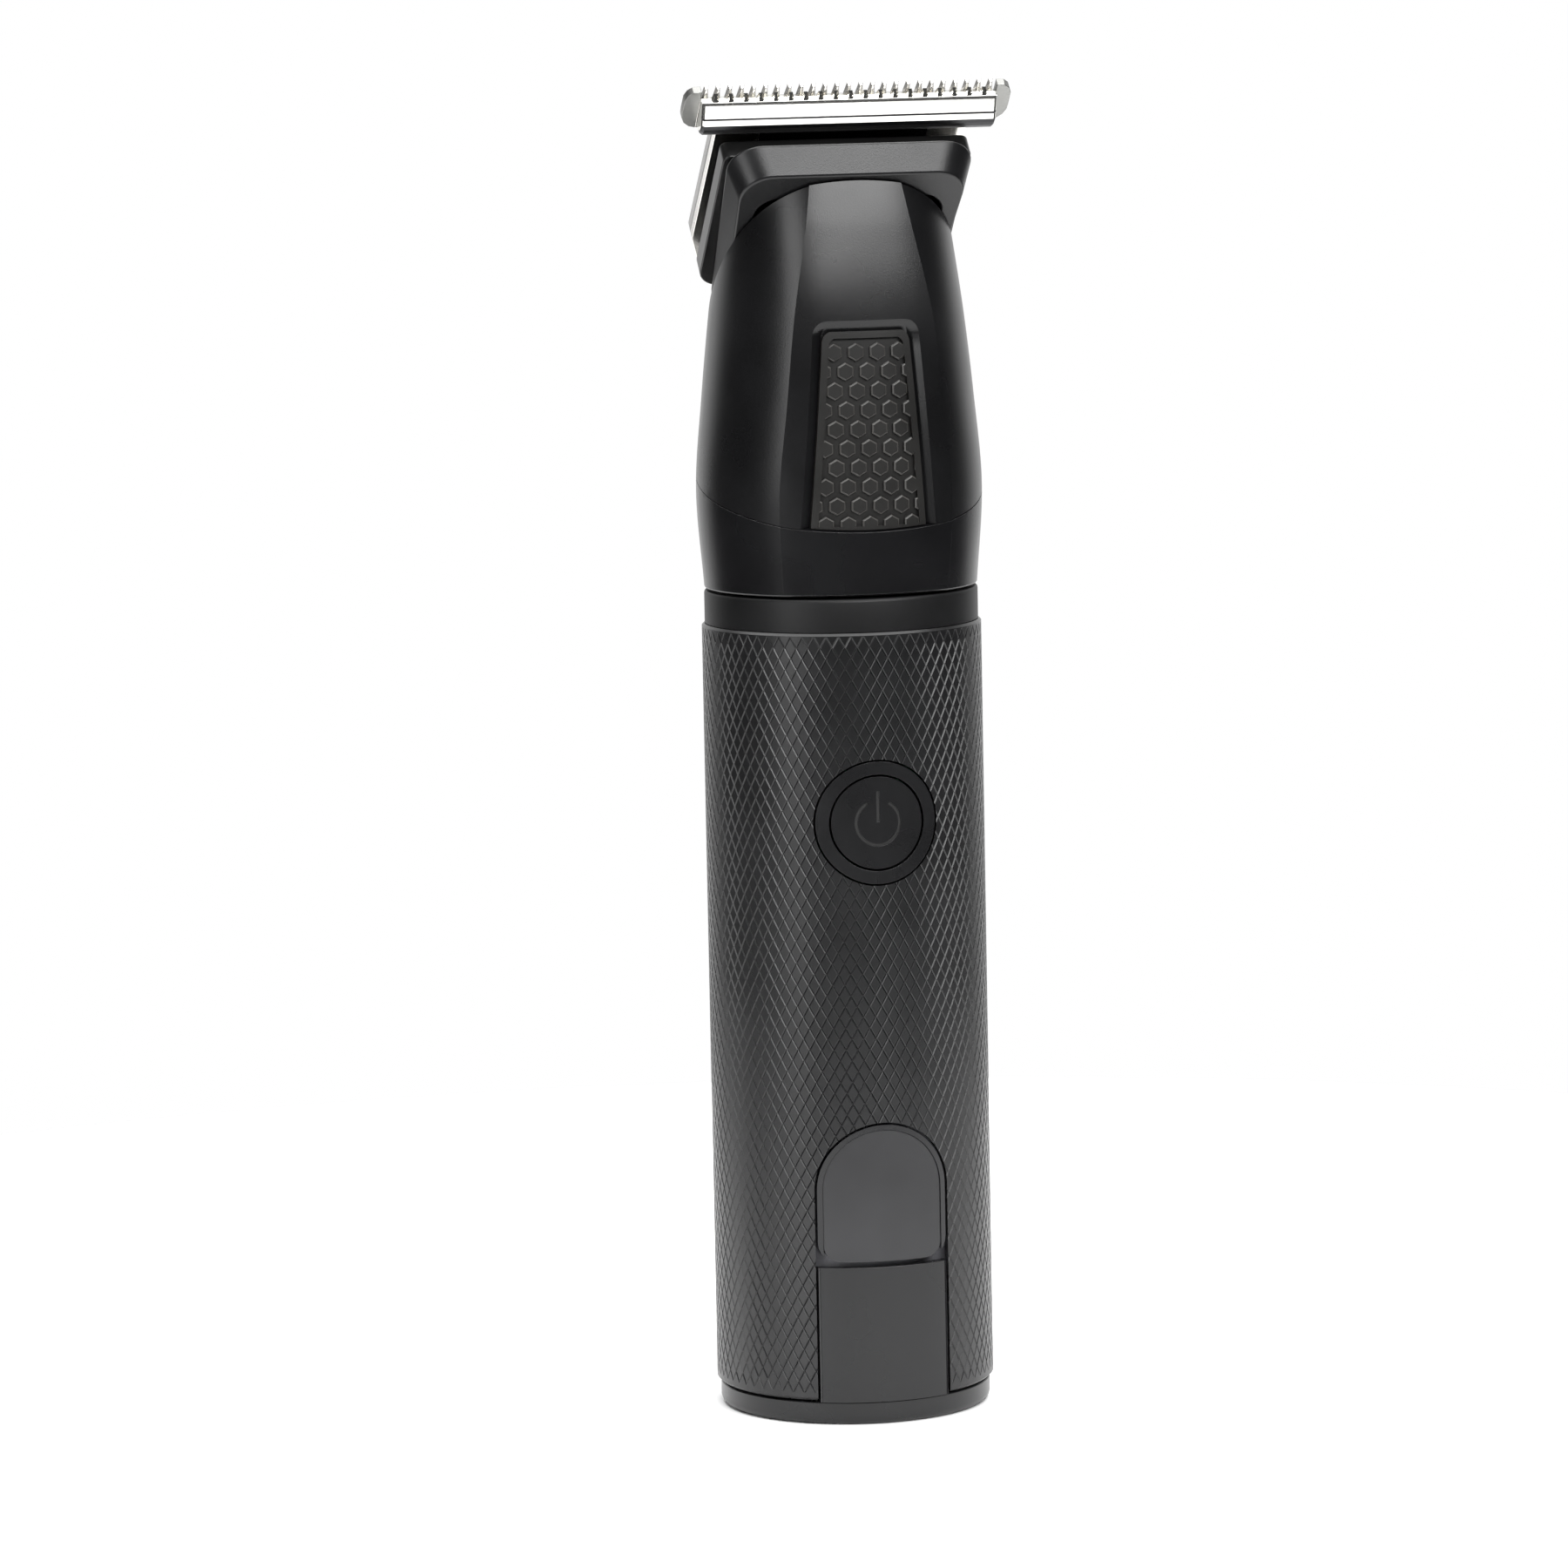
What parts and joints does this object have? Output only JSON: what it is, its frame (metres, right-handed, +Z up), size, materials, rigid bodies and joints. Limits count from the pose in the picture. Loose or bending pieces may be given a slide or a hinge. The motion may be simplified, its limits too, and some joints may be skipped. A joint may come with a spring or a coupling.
{
  "type": "beard trimmer",
  "caption": "Cordless beard trimmer with a knurled round handle, power button, display window and a pull-off head with a slanted comb rail and wide T-blade.",
  "frame": {"origin": "centre of the flat end cap the trimmer stands on", "axes": "+Z up along the handle towards the blade, power button faces -Y, +X is the right of someone facing the button"},
  "size_m": [0.0388, 0.0333, 0.1566],
  "materials": {
    "sleeve_satin_black": "satin, diamond knurl",
    "end_cap_plastic": "satin",
    "contact_gold": "polished",
    "screw_steel": "plain",
    "window_smoked": "smoked satin",
    "light_guide_clear": "clear moulding",
    "led_epoxy": "cast epoxy",
    "board_green": "solder mask",
    "chip_black": "moulded",
    "switch_body": "moulded",
    "bezel_satin_black": "satin",
    "chassis_front_nylon": "moulded",
    "chassis_rear_nylon": "moulded",
    "battery_wrap": "shrink film",
    "tab_nickel": "plain",
    "motor_can_steel": "zinc plated",
    "motor_bell_nylon": "moulded",
    "magnet_ferrite": "sintered",
    "bush_bronze": "sintered",
    "mount_nylon": "moulded",
    "motor_screw_steel": "plain",
    "neck_satin_black": "satin",
    "o_ring_rubber": "moulded",
    "button_satin_black": "satin",
    "switch_plunger": "moulded",
    "armature_copper": "enamelled winding",
    "shaft_steel": "ground",
    "cam_nylon": "moulded",
    "pin_steel": "ground",
    "collar_satin_black": "satin",
    "shell_satin_black": "satin",
    "pad_rubber_black": "moulded hexagons",
    "rocker_frame_nylon": "moulded",
    "rocker_pin_steel": "ground",
    "rail_satin_grey": "satin",
    "blade_base_black": "moulded",
    "spring_steel": "sprung",
    "fixed_blade_steel": "ground",
    "retainer_steel": "ground",
    "blade_screw_steel": "plain",
    "rocker_nylon_white": "moulded",
    "moving_blade_steel": "ground and polished",
    "carrier_nylon": "moulded"
  },
  "bodies": {
    "handle": {"knurled_sleeve": "sleeve_satin_black", "end_cap": "end_cap_plastic", "charge_contact_left": "contact_gold", "charge_contact_right": "contact_gold", "end_cap_screw_front": "screw_steel", "end_cap_screw_back": "screw_steel", "display_window": "window_smoked", "light_guide": "light_guide_clear", "indicator_led_left": "led_epoxy", "indicator_led_right": "led_epoxy", "circuit_board": "board_green", "control_chip": "chip_black", "tact_switch_base": "switch_body", "button_bezel": "bezel_satin_black", "chassis_front": "chassis_front_nylon", "chassis_rear": "chassis_rear_nylon", "battery_cell": "battery_wrap", "battery_tab_positive": "tab_nickel", "battery_tab_negative": "tab_nickel", "motor_can": "motor_can_steel", "motor_end_bell": "motor_bell_nylon", "motor_magnet_left": "magnet_ferrite", "motor_magnet_right": "magnet_ferrite", "motor_bush": "bush_bronze", "motor_mount": "mount_nylon", "motor_screw_left": "motor_screw_steel", "motor_screw_right": "motor_screw_steel", "neck_ring": "neck_satin_black", "neck_o_ring": "o_ring_rubber"},
    "button": {"power_button": "button_satin_black", "tact_switch_plunger": "switch_plunger"},
    "rotor": {"motor_armature": "armature_copper", "motor_shaft": "shaft_steel", "eccentric_cam": "cam_nylon", "eccentric_pin": "pin_steel"},
    "head": {"head_collar": "collar_satin_black", "head_shell": "shell_satin_black", "hex_grip_pad": "pad_rubber_black", "rocker_frame": "rocker_frame_nylon", "rocker_pin": "rocker_pin_steel", "comb_rail": "rail_satin_grey", "blade_base": "blade_base_black", "pressure_spring": "spring_steel", "fixed_blade": "fixed_blade_steel", "blade_retainer": "retainer_steel", "blade_screw_left": "blade_screw_steel", "blade_screw_right": "blade_screw_steel"},
    "rocker": {"drive_rocker": "rocker_nylon_white"},
    "cutter": {"moving_blade": "moving_blade_steel", "cutter_carrier": "carrier_nylon"}
  },
  "joints": [
    {"name": "head_release", "type": "slide", "parent": "handle", "child": "head", "axis": [0, 0, 1], "range_m": [0, 0.03]},
    {"name": "cutter_slide", "type": "slide", "parent": "head", "child": "cutter", "axis": [1, 0, 0], "range_m": [-0.001, 0.001]},
    {"name": "rocker_swing", "type": "hinge", "parent": "head", "child": "rocker", "pos_m": [0, 0.001, 0.122], "axis": [0, 1, 0], "range_deg": [-3.1, 3.1]},
    {"name": "motor_spin", "type": "hinge", "parent": "handle", "child": "rotor", "pos_m": [0, 0.001, 0.09], "axis": [0, 0, 1], "continuous": true},
    {"name": "button_press", "type": "slide", "parent": "handle", "child": "button", "axis": [0, 1, 0], "range_m": [0, 0.0006], "stiffness_N_per_m": 400, "springref_m": -0.0005}
  ],
  "couplings": [
    {"joint": "rocker_swing", "follows": "cutter_slide", "rad_per_m": 47.619}
  ]
}
